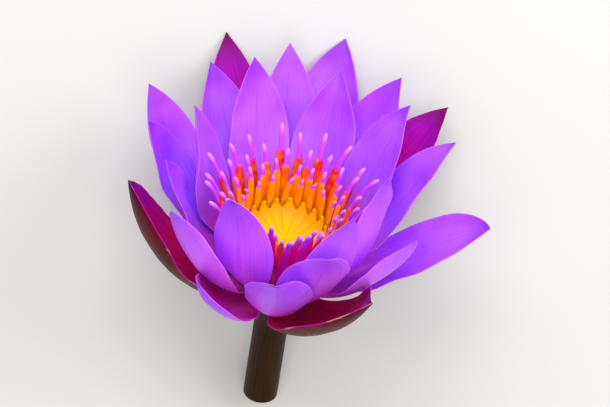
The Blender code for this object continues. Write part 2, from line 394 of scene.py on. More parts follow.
def midrib_direction(blade, along):
    """Which way the midrib runs at a share of its length, in a blade that points to +X."""
    rise = math.radians(
        blade.rise_base * (1 - along) * (1 - 2 * along)
        + blade.rise_middle * 4 * along * (1 - along)
        + blade.rise_tip * along * (2 * along - 1)
    )
    aside = math.radians(blade.bend) * along ** 2
    return np.array([
        math.cos(rise) * math.cos(aside),
        math.sin(aside),
        math.sin(rise) * math.cos(aside),
    ])


def blade_loops(blade, ring, settings):
    """Loops around one blade from base to tip: the inner face from margin to margin, then
    the outer face back.  Veins, midrib, waves and thin margins are all in the shape."""
    chance = random.Random(blade.name)
    phase = [chance.uniform(0, math.tau) for _ in range(5)]
    across = np.linspace(-1, 1, BLADE_COLUMNS + 1)
    off_midrib = np.abs(across)
    azimuth = math.radians(blade.azimuth)
    turn = np.array([
        [math.cos(azimuth), -math.sin(azimuth), 0],
        [math.sin(azimuth), math.cos(azimuth), 0],
        [0, 0, 1],
    ])
    centre = np.array([ring.radius, 0.0, ring.height])
    step = blade.length / BLADE_ROWS
    loops = []
    for row in range(BLADE_ROWS + 1):
        along = row / BLADE_ROWS
        direction = midrib_direction(blade, along)
        if row:
            before = midrib_direction(blade, along - 1 / BLADE_ROWS)
            centre = centre + (before + direction) * step / 2
        aside = math.radians(blade.bend) * along ** 2
        side = np.array([-math.sin(aside), math.cos(aside), 0.0])
        side = side - direction * side.dot(direction)
        side /= np.linalg.norm(side)
        inward = np.cross(direction, side)
        side, inward = twisted(side, inward, math.radians(blade.twist) * along ** TWIST_ONSET)
        half = blade_width(blade, along)
        roll = math.radians(blade.cup_base + (blade.cup_tip - blade.cup_base) * along)
        # Relief and waves fade out towards the base and the tip
        middle = math.sin(math.pi * min(along, 0.96)) ** 0.8
        ragged = settings.ragged / MM * middle * (
            math.sin(along * 71 + phase[3]) + 0.7 * math.sin(along * 173 + phase[4])
        )
        half = half + ragged / 2
        sideways = half * np.sin(roll * across) / roll
        inwards = half * (1 - np.cos(roll * across)) / roll
        ruffle = off_midrib ** 3 * (
            np.sin(along * 11 + phase[0] + across) + 0.5 * np.sin(along * 23 + phase[1] - across)
        )
        swell = 0.5 * np.sin(along * 6 + 2.2 * across + phase[2]) * (1 - off_midrib)
        wave = settings.wave / MM * middle * (ruffle + swell)
        normal = (np.outer(np.cos(roll * across), inward) - np.outer(np.sin(roll * across), side))
        sheet = (centre + np.outer(sideways, side) + np.outer(inwards, inward)
                 + normal * wave[:, None])
        domed = MARGIN_THICKNESS + (1 - MARGIN_THICKNESS) * np.sqrt(1 - off_midrib ** 2)
        thick = ring.thickness / 2 * domed * (1 - TIP_THINNING * along ** 2)
        fade = middle * (1 - off_midrib ** 4)
        veins = settings.vein_relief / MM * fade * np.cos(
            math.tau * settings.veins * off_midrib ** 0.9
        )
        midrib = settings.midrib_relief / MM * middle * np.exp(-(off_midrib / MIDRIB_SPREAD) ** 2)
        inner = sheet + normal * (thick + veins - midrib * MIDRIB_FURROW)[:, None]
        outer = sheet - normal * (thick - veins + midrib)[:, None]
        loops.append(np.concatenate([inner, outer[::-1]]) @ turn.T)
    return loops


def make_blade(blade, settings, material):
    """Build one petal or sepal in the place of its CAD node."""
    ring = RINGS[blade.ring]
    loops = blade_loops(blade, ring, settings)
    face = np.linspace(0, 0.5, BLADE_COLUMNS + 1)
    around = np.concatenate([face, face + 0.5, [1.0]])
    mesh = skin(blade.name + "_tissue", loops, around, np.linspace(0, 1, BLADE_ROWS + 1))
    mesh.materials.append(material)
    add_piece(blade.name + "_tissue", mesh, (blade.name,))


def skin_places(tree):
    """Where a point lies on its skin: around it and along it, each from 0 to 1."""
    place = node(tree, "UVMap", uv_map=SKIN_UV)
    split = node(tree, "SeparateXYZ", {0: place})
    return split.outputs[0], split.outputs[1]


def blade_places(tree):
    """Where a point lies on its blade: along it from base to tip, off its midrib from 0 to
    1, across it from -1 to 1, and whether it is on the outer face."""
    around, along = skin_places(tree)
    turned = node(tree, "Math", {0: around, 1: 4.0, 2: -2.0}, operation="MULTIPLY_ADD")
    folded = node(tree, "Math", {0: turned}, operation="ABSOLUTE")
    across = node(tree, "Math", {0: 1.0, 1: folded}, operation="SUBTRACT")
    off_midrib = node(tree, "Math", {0: across}, operation="ABSOLUTE")
    outer = node(tree, "Math", {0: around, 1: 0.5}, operation="GREATER_THAN")
    return along, off_midrib, across, outer


def streaks(tree, across, along, lines, stretch, detail=3.0):
    """Noise drawn out along the blade: about so many lines from margin to margin."""
    wide = node(tree, "Math", {0: across, 1: lines / 2}, operation="MULTIPLY")
    long = node(tree, "Math", {0: along, 1: stretch}, operation="MULTIPLY")
    where = node(tree, "CombineXYZ", {0: wide, 1: long})
    return node(tree, "TexNoise", {
        "Vector": where, "Scale": 1.0, "Detail": detail, "Roughness": 0.6,
    })


def grain(tree, per_metre, detail):
    """Noise through the whole piece: about so many grains in a metre."""
    where = node(tree, "TexCoord").outputs["Object"]
    return node(tree, "TexNoise", {"Vector": where, "Scale": per_metre, "Detail": detail})


def tinted(tree, under, colour, value, span, amounts):
    """Lay a colour over the one under it.  As the value goes from one end of the span to the
    other, the amount that shows goes from the first amount to the second."""
    amount = node(tree, "MapRange", {
        0: value, 1: span[0], 2: span[1], 3: amounts[0], 4: amounts[1],
    })
    mixed = node(tree, "Mix", {0: amount, 6: under, 7: opaque(colour)}, data_type="RGBA")
    return mixed.outputs[2]


def dress(tree, shader, colour, relief, strength, depth, constants):
    """Give a shader its colour, its constant values and the bump of its fine relief, with a
    depth in millimetres."""
    bump = node(tree, "Bump", {"Strength": strength, "Distance": depth * MM, "Height": relief})
    tree.links.new(colour, shader.inputs["Base Color"])
    tree.links.new(bump.outputs[0], shader.inputs["Normal"])
    for socket, value in constants.items():
        shader.inputs[socket].default_value = value


def petal_material(name, settings, inner_stops, outer_stops):
    """Petal tissue: thin, moist and satiny, its raised cells scattering a soft bloom of
    light, with fine parallel veins, a darker midrib and paler margins."""
    material, tree, shader = new_material(name)
    along, off_midrib, across, outer = blade_places(tree)
    inner, outside = [node(tree, "ValToRGB", {0: along}, stops=stops)
                      for stops in (inner_stops, outer_stops)]
    face = node(tree, "Mix", {0: outer, 6: inner, 7: outside}, data_type="RGBA")
    clouds = grain(tree, 45.0, 2.0)
    veins = streaks(tree, across, along, settings.vein_lines, 1.6)
    colour = face.outputs[2]
    for tint, value, span, amounts in (
        (settings.bloom, clouds, (0.4, 0.7), (0.0, 0.4)),
        (settings.vein, veins, (0.48, 0.72), (0.0, 0.34)),
        (settings.vein, off_midrib, (0.0, 0.05), (0.28, 0.0)),
        (settings.margin, off_midrib, (0.93, 1.0), (0.0, 0.45)),
    ):
        colour = tinted(tree, colour, tint, value, span, amounts)
    cells = grain(tree, 1 / settings.cell_size, 1.0)
    height = node(tree, "Math", {0: veins, 1: 0.6, 2: cells}, operation="MULTIPLY_ADD")
    dress(tree, shader, colour, height, 0.25, 0.2, {
        "Roughness": 0.44, "IOR": 1.42, "Specular IOR Level": 0.2,
        "Subsurface Weight": 0.35, "Subsurface Radius": (1.0, 0.4, 1.0),
        "Subsurface Scale": 0.0015, "Sheen Weight": 0.08, "Sheen Roughness": 0.4,
        "Sheen Tint": opaque(settings.margin),
    })
    return material


def sepal_material(name, settings):
    """Sepal tissue: thicker and waxier than a petal.  The inner face is a deep magenta with
    darker veins; the outer one is olive-brown and maroon, streaked, with pale flecks."""
    material, tree, shader = new_material(name)
    along, off_midrib, across, outer = blade_places(tree)
    # The low inner face is painted lighter than its own magenta: painted light where the petals
    # shade it
    inner_colour = node(tree, "ValToRGB", {0: along}, stops=[
        (0.0, "C02050"), (0.4, settings.inside), (0.85, settings.inside_light),
        (1.0, "5E0838"),
    ])
    inner_streaks = streaks(tree, across, along, 26, 2.0)
    inside = tinted(tree, inner_colour, "6A0448", inner_streaks,
                    (0.45, 0.75), (0.0, 0.5))
    outer_colour = node(tree, "ValToRGB", {0: along}, stops=[
        (0.0, "3E3A0E"), (0.3, settings.outside), (0.75, settings.outside_red),
        (1.0, "3A0616"),
    ])
    outer_streaks = streaks(tree, across, along, 34, 3.0, 5.0)
    outside = tinted(tree, outer_colour, settings.streak, outer_streaks, (0.42, 0.68), (0.0, 0.8))
    outside = tinted(tree, outside, settings.outside_red, off_midrib, (0.7, 1.0), (0.0, 0.75))

    # Flecks of dried tissue, torn out of round and only in patches of the outer face
    place = node(tree, "TexCoord").outputs["Object"]
    tear = node(tree, "TexNoise", {"Vector": place, "Scale": 700.0, "Detail": 3.0})
    torn = node(tree, "VectorMath", {
        0: tear.outputs[1], 1: (TEAR * MM,) * 3, 2: place,
    }, operation="MULTIPLY_ADD")
    flecks = node(tree, "TexVoronoi", {
        "Vector": torn, "Scale": 1 / settings.fleck_spacing, "Randomness": 1.0,
    })
    patches = grain(tree, 90.0, 3.0)
    fleck_size = node(tree, "MapRange", {0: patches, 1: 0.5, 2: 0.8, 3: 0.0, 4: 0.34})
    fleck_amount = node(tree, "Math", {
        0: flecks.outputs["Distance"], 1: fleck_size,
    }, operation="LESS_THAN")
    flecked = node(tree, "Mix", {
        0: fleck_amount, 6: outside, 7: opaque(settings.fleck),
    }, data_type="RGBA")
    face = node(tree, "Mix", {0: outer, 6: inside, 7: flecked.outputs[2]}, data_type="RGBA")
    edged = tinted(tree, face.outputs[2], settings.rim, off_midrib, (0.955, 1.0), (0.0, 0.7))

    # In the same patches the outer face's margin is dry, with a torn inner edge
    torn_edge = node(tree, "Math", {0: tear, 1: 0.16, 2: off_midrib},
                     operation="MULTIPLY_ADD")
    near_margin = node(tree, "MapRange", {
        0: torn_edge, 1: 1.03, 2: 1.07, 3: 0.0, 4: 0.8,
    })
    dry_patches = node(tree, "MapRange", {0: patches, 1: 0.5, 2: 0.6, 3: 0.0, 4: 1.0})
    dry_amount = near_margin
    for share in (dry_patches, outer):
        dry_amount = node(tree, "Math", {0: dry_amount, 1: share}, operation="MULTIPLY")
    dried = node(tree, "Mix", {0: dry_amount, 6: edged, 7: opaque(settings.fleck)}, data_type="RGBA")
    height = node(tree, "Math", {0: outer_streaks, 1: inner_streaks}, operation="ADD")
    dress(tree, shader, dried.outputs[2], height, 0.4, 0.3, {
        "Roughness": 0.45, "IOR": 1.42, "Specular IOR Level": 0.1,
        "Subsurface Weight": 0.12, "Subsurface Radius": (1.0, 0.2, 0.5),
        "Subsurface Scale": 0.001,
    })
    return material


# How far a sepal's flecks are torn out of round, in millimetres
TEAR = 2.0
# The lowest petal keeps the red flush of its base nearly up to the tip, on the inner face,
# painted lighter as painted light where that face lies in shade
FLUSHED = ("petal_outer_5",)


class LilyPetalSettings(bpy.types.PropertyGroup):
    """Colours and relief of the petals"""

    # The petal's own pink low on the inner face, painted lighter: partly a painted glow of light
    # through the tissue
    base: colour_choice("Base", "Colour low on the inner face", "D83CD4")
    middle: colour_choice("Middle", "Colour halfway up the inner face", "B458FF")
    tip: colour_choice("Tip", "Colour near the tip", "A038FA")
    back: colour_choice("Back", "Colour halfway up the outer face", "D462FF")
    bloom: colour_choice("Bloom", "Paler clouds on both faces", "D484FF")
    vein: colour_choice("Vein", "Veins and midrib", "8A22E0")
    margin: colour_choice("Margin", "Thin line along the margins", "D078FF")
    wave: length_choice("Wave", "Height of the waves along the margins", 0.55)
    ragged: length_choice("Ragged", "Unevenness of the margins", 0.04)
    veins: IntProperty(
        name="Veins", description="Raised veins on each side of the midrib", default=6, min=0)
    vein_relief: length_choice("Vein relief", "Height of the raised veins", 0.035)
    midrib_relief: length_choice("Midrib relief", "Height of the midrib on the outer face", 0.16)
    vein_lines: IntProperty(
        name="Vein lines", description="Fine coloured lines from margin to margin",
        default=30, min=1)
    cell_size: length_choice(
        "Cell size", "Grain of the surface, drawn coarser than real cells", 0.35, 0.01)


class LilySepalSettings(bpy.types.PropertyGroup):
    """Colours and relief of the sepals"""

    # The sepal's own magenta, painted lighter as painted light where the petals shade the low inner
    # face
    inside: colour_choice("Inside", "Inner face, low down", "DC1470")
    inside_light: colour_choice("Inside, upper", "Inner face, high up", "9C00A4")
    outside: colour_choice("Outside", "Outer face", "4A2008")
    outside_red: colour_choice("Outside, red", "Maroon flush of the outer face", "66061E")
    streak: colour_choice("Streak", "Dark streaks of the outer face", "240C04")
    rim: colour_choice("Rim", "Bright line along the margins", "C8169A")
    fleck: colour_choice("Fleck", "Pale flecks of dried tissue", "B09C80")
    fleck_spacing: length_choice("Fleck spacing", "Distance between the pale flecks", 1.6, 0.1)
    wave: length_choice("Wave", "Height of the waves along the margins", 0.45)
    ragged: length_choice("Ragged", "Unevenness of the margins", 0.22)
    veins: IntProperty(
        name="Veins", description="Raised veins on each side of the midrib", default=7, min=0)
    vein_relief: length_choice("Vein relief", "Height of the raised veins", 0.05)
    midrib_relief: length_choice("Midrib relief", "Height of the midrib on the outer face", 0.3)


class LILY_OT_petals(bpy.types.Operator):
    """Build the 21 petals of the inner, middle and outer rings"""

    bl_idname = "lily.petals"
    bl_label = "Petals"

    def execute(self, context):
        look = context.scene.lily_petals
        # The red flush at the very base and the base colour are the petals' own pink, painted
        # lighter as a painted glow of light through the lower tissue
        flush = "CC1E68"
        tip_end = "7412CC"
        shades = {
            "inner": (look.middle, look.back),
            "middle": ("A652FF", look.back),
            "outer": ("A446FF", "B04CFF"),
        }
        materials = {}
        for ring, (middle, back) in shades.items():
            inner_stops = [
                (0.0, flush), (0.14, look.base), (0.42, middle), (0.86, look.tip), (1.0, tip_end),
            ]
            outer_stops = [
                (0.0, "F04CB0"), (0.25, "E650F0"), (0.6, back), (0.92, "A844FF"), (1.0, tip_end),
            ]
            materials[ring] = petal_material(f"petal_tissue_{ring}", look, inner_stops, outer_stops)
        # Painted light: the lowest petal's magenta, lightened where its inner face lies in shade
        materials["flushed"] = petal_material("petal_tissue_flushed", look, [
            (0.0, flush), (0.3, "D01098"), (0.8, "C820C0"), (1.0, tip_end),
        ], outer_stops)
        for blade in BLADES:
            if blade.ring != "sepal":
                shade = "flushed" if blade.name in FLUSHED else blade.ring
                make_blade(blade, look, materials[shade])
        return {"FINISHED"}


class LILY_OT_sepals(bpy.types.Operator):
    """Build the 4 sepals"""

    bl_idname = "lily.sepals"
    bl_label = "Sepals"

    def execute(self, context):
        look = context.scene.lily_sepals
        material = sepal_material("sepal_tissue", look)
        for blade in BLADES:
            if blade.ring == "sepal":
                make_blade(blade, look, material)
        return {"FINISHED"}


# --- Rings of like pieces: stamens and carpels ---


def ring_tree():
    """Geometry Nodes that stand pieces from a collection in a ring about Z, each turned to
    face outwards and varied a little in lean, tilt and length."""
    tree = bpy.data.node_groups.new("lily_ring", "GeometryNodeTree")
    tree.is_modifier = True
    sockets = [
        ("Pieces", "Collection"), ("Material", "Material"), ("Count", "Int"),
        ("Variants", "Int"), ("Radius", "Float"), ("Turn", "Float"), ("Lean Spread", "Float"),
        ("Tilt Spread", "Float"), ("Length Spread", "Float"), ("Rhythm", "Float"), ("Seed", "Int"),
    ]
    for name, kind in sockets:
        tree.interface.new_socket(name=name, in_out="INPUT", socket_type="NodeSocket" + kind)
    tree.interface.new_socket(name="Geometry", in_out="OUTPUT", socket_type="NodeSocketGeometry")
    given = node(tree, "NodeGroupInput").outputs

    circle = node(tree, "GeometryNodeMeshCircle", {
        "Vertices": given["Count"], "Radius": given["Radius"],
    })
    turn = node(tree, "CombineXYZ", {2: given["Turn"]})
    turn_rotation = node(tree, "FunctionNodeEulerToRotation", {0: turn})
    turned = node(tree, "GeometryNodeTransform", {
        "Geometry": circle, "Rotation": turn_rotation,
    })

    place = node(tree, "GeometryNodeInputPosition")
    split = node(tree, "SeparateXYZ", {0: place})
    facing = node(tree, "Math", {0: split.outputs[1], 1: split},
                  operation="ARCTAN2")
    swings = []
    for spread, shift in (("Lean Spread", 0), ("Tilt Spread", 1)):
        least = node(tree, "Math", {0: given[spread], 1: -1.0}, operation="MULTIPLY")
        seed = node(tree, "FunctionNodeIntegerMath", {0: given["Seed"], 1: shift}, operation="ADD")
        swings.append(node(tree, "FunctionNodeRandomValue", {
            2: least, 3: given[spread], "Seed": seed,
        }, data_type="FLOAT"))
    angles = node(tree, "CombineXYZ", {
        0: swings[1].outputs[1], 1: swings[0].outputs[1], 2: facing,
    })
    rotation = node(tree, "FunctionNodeEulerToRotation", {0: angles})

    index = node(tree, "GeometryNodeInputIndex")
    beat = node(tree, "Math", {0: index, 1: given["Rhythm"]},
                operation="MULTIPLY")
    wave = node(tree, "Math", {0: beat}, operation="SINE")
    length = node(tree, "Math", {0: wave, 1: given["Length Spread"], 2: 1.0},
                  operation="MULTIPLY_ADD")
    scale = node(tree, "CombineXYZ", {0: 1.0, 1: 1.0, 2: length})

    last = node(tree, "FunctionNodeIntegerMath", {0: given["Variants"], 1: 1}, operation="SUBTRACT")
    pick = node(tree, "FunctionNodeRandomValue", {
        4: 0, 5: last, "Seed": given["Seed"],
    }, data_type="INT")
    pieces = node(tree, "GeometryNodeCollectionInfo", {
        "Collection": given["Pieces"], "Separate Children": True, "Reset Children": True,
    })
    stood = node(tree, "GeometryNodeInstanceOnPoints", {
        "Points": turned, "Instance": pieces, "Pick Instance": True,
        "Instance Index": pick.outputs[2], "Rotation": rotation,
        "Scale": scale,
    })
    real = node(tree, "GeometryNodeRealizeInstances", {0: stood})
    finished = node(tree, "GeometryNodeSetMaterial", {
        "Geometry": real, "Material": given["Material"],
    })
    node(tree, "NodeGroupOutput", {0: finished})
    return tree


def baked_ring(name, meshes, values):
    """Run the ring tree over a set of meshes and return the result as one plain mesh."""
    collection = bpy.data.collections.new(name + "_variants")
    bpy.context.scene.collection.children.link(collection)
    for number, mesh in enumerate(meshes):
        collection.objects.link(bpy.data.objects.new(f"{name}_{number}", mesh))
    tree = bpy.data.node_groups.get("lily_ring") or ring_tree()
    carrier = add_object(name + "_carrier", bpy.data.meshes.new(name))
    modifier = carrier.modifiers.new("ring", "NODES")
    modifier.node_group = tree
    values = dict(values, Pieces=collection, Variants=len(meshes))
    for socket in tree.interface.items_tree:
        if socket.in_out == "INPUT" and socket.name in values:
            modifier[socket.identifier] = values[socket.name]
    bpy.context.view_layer.update()
    baked = baked_mesh(carrier, list(collection.objects))
    baked.name = name
    bpy.data.collections.remove(collection)
    return baked


# --- Stamens ---


def root_height(radius):
    """Height at which the stamens of a whorl leave the cone of the receptacle."""
    shoulder, top = STEM_PROFILE[-2], STEM_PROFILE[-1]
    slope = (top[1] - shoulder[1]) / (shoulder[0] - top[0])
    return top[1] + (top[0] - radius) * slope


def stamen_mesh(whorl, variant):
    """One stamen, rooted at the origin and leaning towards +X: a flat strap that carries two
    pollen ridges on its inner side and ends in a rounded, finger-like tip."""
    chance = random.Random(f"{whorl.name}{variant}")
    sway = chance.uniform(-0.9, 0.9)
    curl = whorl.tip_curl * chance.uniform(0.5, 1.35)
    roll = math.radians(chance.uniform(-16, 16))
    width_places = [0.0, 0.25, 0.5, whorl.tip_from - 0.06, whorl.tip_from + 0.03, 0.94, 1.0]
    widths = [0.74, 0.92, 1.0, 0.88, 0.52, 0.42, 0.36]
    angle = np.arange(STAMEN_SIDES) * math.tau / STAMEN_SIDES
    sideways = np.sign(np.cos(angle)) * np.abs(np.cos(angle)) ** 0.8
    ridged = np.maximum(np.sin(angle), 0) * np.sin(math.pi * np.abs(np.cos(angle)))
    loops, along = [], np.sin(np.linspace(0, math.pi / 2, STAMEN_ROWS + 1))
    for share in along:
        lean = math.radians(whorl.lean_root + (whorl.lean_tip - whorl.lean_root) * share / 2)
        beyond = max(0.0, share - whorl.tip_from) / (1 - whorl.tip_from)
        centre = np.array([
            whorl.length * share * math.sin(lean) + curl * beyond ** 2,
            sway * share ** 2 * (1 + beyond),
            whorl.length * share * math.cos(lean) - 0.3 * curl * beyond ** 2,
        ])
        steeper = lean + math.radians(10 * curl * beyond)
        inward = np.array([-math.cos(steeper), 0.0, math.sin(steeper)])
        side = np.array([0.0, 1.0, 0.0])
        side, inward = twisted(side, inward, roll * share)
        rounding = rounded_end(share, 0.955, 0.12)
        half_width = whorl.width / 2 * np.interp(share, width_places, widths) * rounding
        half_thickness = STAMEN_THICKNESS / 2 * (1 + TIP_PLUMPNESS * beyond) * rounding
        from_anther = (share / whorl.tip_from - ANTHER_MIDDLE) / ANTHER_REACH
        anther = ANTHER_HEIGHT * math.exp(-from_anther ** 4)
        loops.append(
            centre
            + np.outer(sideways * half_width, side)
            + np.outer(np.sin(angle) * half_thickness + ridged * anther, inward)
        )
    around = np.arange(STAMEN_SIDES + 1) / STAMEN_SIDES
    return skin(f"{whorl.name}_strap_{variant}", loops, around, along)


def stamen_material(whorl, settings, body, body_high, back):
    """Stamen tissue: smooth and fleshy, waxy orange on the body with paler pollen ridges,
    a magenta or red back, and a lavender tip whose pale end is a painted highlight."""
    material, tree, shader = new_material(f"stamen_tissue_{whorl.name}")
    around, along = skin_places(tree)
    tip = whorl.tip_from
    # Both sides run into the pale tip end: a painted highlight
    front, behind = [
        node(tree, "ValToRGB", {0: along}, stops=[
            *lower, (0.9, settings.tip), (1.0, settings.tip_end),
        ])
        for lower in (
            [(0.0, settings.root), (0.3, body), (tip - 0.05, body_high), (tip + 0.02, settings.tip)],
            [(0.0, body_high), (0.25, back), (tip - 0.05, back), (tip + 0.05, settings.tip)],
        )
    ]
    pollen = grain(tree, 350.0, 2.0)
    flecked = tinted(tree, front, settings.root, pollen, (0.45, 0.7), (0.0, 0.35))
    on_body = node(tree, "Math", {0: along, 1: tip}, operation="LESS_THAN")
    on_back = node(tree, "Math", {0: around, 1: 0.5}, operation="GREATER_THAN")
    colour = front
    for where, over in ((on_body, flecked), (on_back, behind)):
        mixed = node(tree, "Mix", {0: where, 6: colour, 7: over}, data_type="RGBA")
        colour = mixed.outputs[2]
    dress(tree, shader, colour, pollen, 0.2, 0.2, {
        "Roughness": 0.42, "IOR": 1.42, "Specular IOR Level": 0.25,
        "Subsurface Weight": 0.55, "Subsurface Radius": (1.4, 0.5, 0.6),
        "Subsurface Scale": 0.002,
    })
    return material


class LilyStamenSettings(bpy.types.PropertyGroup):
    """Colours and variation of the stamens"""

    root: colour_choice("Root", "Colour at the root", "FFB000")
    orange: colour_choice("Orange", "Body of the inner whorls", "FF8C00")
    red: colour_choice("Red", "Body of the outermost whorl", "E41A1C")
    back: colour_choice("Back", "Outer side of the outermost whorl", "E0089C")
    tip: colour_choice("Tip", "Lavender of the tips", "BE44EA")
    # Painted highlight at the ends of the tips
    tip_end: colour_choice("Tip end", "Pale end of the tips", "E08CFF")
    lean_spread: FloatProperty(
        name="Lean spread", description="How unevenly stamens lean in or out",
        unit="ROTATION", default=math.radians(3.0), min=0)
    tilt_spread: FloatProperty(
        name="Tilt spread", description="How unevenly stamens lean sideways",
        unit="ROTATION", default=math.radians(3.5), min=0)
    length_spread: FloatProperty(
        name="Length spread", description="Variation in length from one stamen to the next",
        default=0.06, min=0)
    rhythm: FloatProperty(
        name="Rhythm", description="Angle by which the length's wave moves from one stamen "
        "to the next", unit="ROTATION", default=2.4, min=0)
    seed: IntProperty(name="Seed", description="Seed of the variation", default=7, min=0)


class LILY_OT_stamens(bpy.types.Operator):
    """Build the four whorls of stamens"""

    bl_idname = "lily.stamens"
    bl_label = "Stamens"

    def execute(self, context):
        look = context.scene.lily_stamens
        red_orange = "FF5008"
        shades = [
            ("F04010", look.red, look.back),
            (look.orange, red_orange, look.back),
            (look.orange, look.orange, "E83A30"),
            (look.root, look.orange, look.root),
        ]
        for number, (whorl, shade) in enumerate(zip(WHORLS, shades)):
            straps = [stamen_mesh(whorl, variant) for variant in range(VARIANTS)]
            baked = baked_ring(whorl.name + "_whorl", straps, {
                "Material": stamen_material(whorl, look, *shade),
                "Count": STAMENS_PER_WHORL,
                "Radius": whorl.radius * MM,
                "Turn": whorl.offset * math.tau / STAMENS_PER_WHORL,
                "Lean Spread": look.lean_spread,
                "Tilt Spread": look.tilt_spread,
                "Length Spread": look.length_spread,
                "Rhythm": look.rhythm,
                "Seed": look.seed + 10 * number,
            })
            baked.transform(Matrix.Translation((0, 0, root_height(whorl.radius) * MM)))
            for vertex in baked.vertices:
                if vertex.co.y < 0:
                    above = max(0.0, vertex.co.z / MM - HELD_IN_FROM)
                    vertex.co.y *= 1 - HELD_IN * above
            digits = "02d" if whorl.bundles == STAMENS_PER_WHORL else "d"
            nodes = [f"{whorl.name}_{bundle + 1:{digits}}" for bundle in range(whorl.bundles)]
            add_piece(whorl.name + "_whorl", baked, nodes)
        return {"FINISHED"}


# --- Stigma disc ---


# Middle line of one carpel, (radius, height) from the middle of the disc to its lobe's end
CARPEL_LINE = [
    (0.25, 2.2), (3.0, 2.25), (6.0, 2.7), (9.0, 3.7), (11.2, 4.9), (12.7, 6.3), (13.1, 8.0),
    (12.5, 9.5),
]
CARPEL_OVERLAP = 1.3      # of its share of the ring, so that neighbours sink into each other
CARPEL_THICKNESS, LOBE_THICKENING = 0.44, 0.68
LOBE_STARTS = 0.72        # of the carpel's length
LOBE_NARROWING = 0.68     # of the carpel's width
DISH_PROFILE = [
    (10.2, -2.7), (10.2, 1.5), (12.4, 1.6), (13.1, 4.6), (12.4, 4.9), (10.6, 3.7), (5.3, 1.9),
    (0.3, 1.8),
]


def carpel_mesh():
    """One carpel along +X: a wedge of the disc with a rounded back, whose outer end rises
    into a blunt lobe."""
    line = cut_corners(CARPEL_LINE, 3)
    share = shares_along(line)
    along = np.sin(np.linspace(0, math.pi / 2, CARPEL_ROWS + 1))
    radius = np.interp(along, share, line[:, 0])
    height = np.interp(along, share, line[:, 1])
    rim = CARPEL_LINE[4][0]       # past this radius the carpels stay as wide
    wedge = math.tan(math.pi / CARPELS)
    angle = np.arange(CARPEL_SIDES) * math.tau / CARPEL_SIDES
    leans = np.arctan2(np.gradient(height), np.gradient(radius))
    loops = []
    for row, (place, lean) in enumerate(zip(along, leans)):
        normal = np.array([-math.sin(lean), 0.0, math.cos(lean)])
        lobe = max(0.0, place - LOBE_STARTS) / (1 - LOBE_STARTS)
        waist = 1 - LOBE_NARROWING * math.sin(min(1.0, lobe * 1.4) * math.pi / 2)
        rounding = rounded_end(place, 0.93, 0.1)
        half_width = min(radius[row], rim) * wedge * CARPEL_OVERLAP * waist * rounding
        half_thickness = (CARPEL_THICKNESS + LOBE_THICKENING * lobe) / 2 * rounding
        centre = np.array([radius[row], 0.0, height[row]])
        loops.append(
            centre
            + np.outer(np.cos(angle) * half_width, [0.0, 1.0, 0.0])
            + np.outer(np.sin(angle) * half_thickness, normal)
        )
    around = np.arange(CARPEL_SIDES + 1) / CARPEL_SIDES
    return skin("carpel", loops, around, along)


def stigma_material(settings):
    """Stigma tissue: wet, fleshy yellow, with a slight gloss from its fluid.  A deeper orange
    in the grooves between the carpels and at the feet of the lobes is painted shade."""
    material, tree, shader = new_material("stigma_tissue")
    around, along = skin_places(tree)
    # The deeper orange at 0.75 along, where the lobes rise, is painted shade
    colour = node(tree, "ValToRGB", {0: along}, stops=[
        (0.0, settings.centre), (0.45, settings.ray), (0.75, settings.groove_shade),
        (0.9, settings.ray), (1.0, settings.centre),
    ])
    turn = node(tree, "Math", {0: around, 1: math.tau}, operation="MULTIPLY")
    cosine = node(tree, "Math", {0: turn}, operation="COSINE")
    off_middle = node(tree, "Math", {0: cosine}, operation="ABSOLUTE")
    # Painted shade: each carpel turns deeper orange along its sides, in the grooves
    crease_shaded = tinted(tree, colour, settings.groove_shade, off_middle, (0.5, 0.85), (0.0, 0.6))
    dress(tree, shader, crease_shaded, grain(tree, 900.0, 2.0), 0.3, 0.2, {
        "Roughness": 0.45, "IOR": 1.4, "Specular IOR Level": 0.15,
        "Subsurface Weight": 0.3, "Subsurface Radius": (1.2, 0.6, 0.2),
        "Subsurface Scale": 0.0015,
    })
    return material


class LilyStigmaSettings(bpy.types.PropertyGroup):
    """Colours of the stigma disc"""

    centre: colour_choice("Centre", "Middle of the disc and ends of the lobes", "FFD000")
    ray: colour_choice("Ray", "Back of each carpel", "FFBE00")
    # Painted shade in the grooves and at the feet of the lobes
    groove_shade: colour_choice("Groove", "Grooves between the carpels", "FF9E00")


class LILY_OT_stigma_disc(bpy.types.Operator):
    """Build the stigma disc: the carpels in a ring over their shallow dish"""

    bl_idname = "lily.stigma_disc"
    bl_label = "Stigma Disc"

    def execute(self, context):
        material = stigma_material(context.scene.lily_stigma)
        baked = baked_ring("stigma_carpels", [carpel_mesh()], {
            "Material": material,
            "Count": CARPELS,
            "Radius": 0.01 * MM,      # just enough to face each carpel outwards
            "Turn": math.pi / CARPELS,
            "Lean Spread": 0.0,
            "Tilt Spread": 0.0,
            "Length Spread": 0.04,
            "Rhythm": 2.0,
            "Seed": 1,
        })
        add_piece("stigma_carpels", baked, ("stigma_disc",))
        profile = cut_corners(DISH_PROFILE, 2)
        sides = 4 * CARPELS
        dish = skin("stigma_dish", turned_loops(profile, sides),
                    np.arange(sides + 1) / sides, shares_along(profile))
        dish.materials.append(material)
        add_piece("stigma_dish", dish)
        return {"FINISHED"}


# --- Stem ---


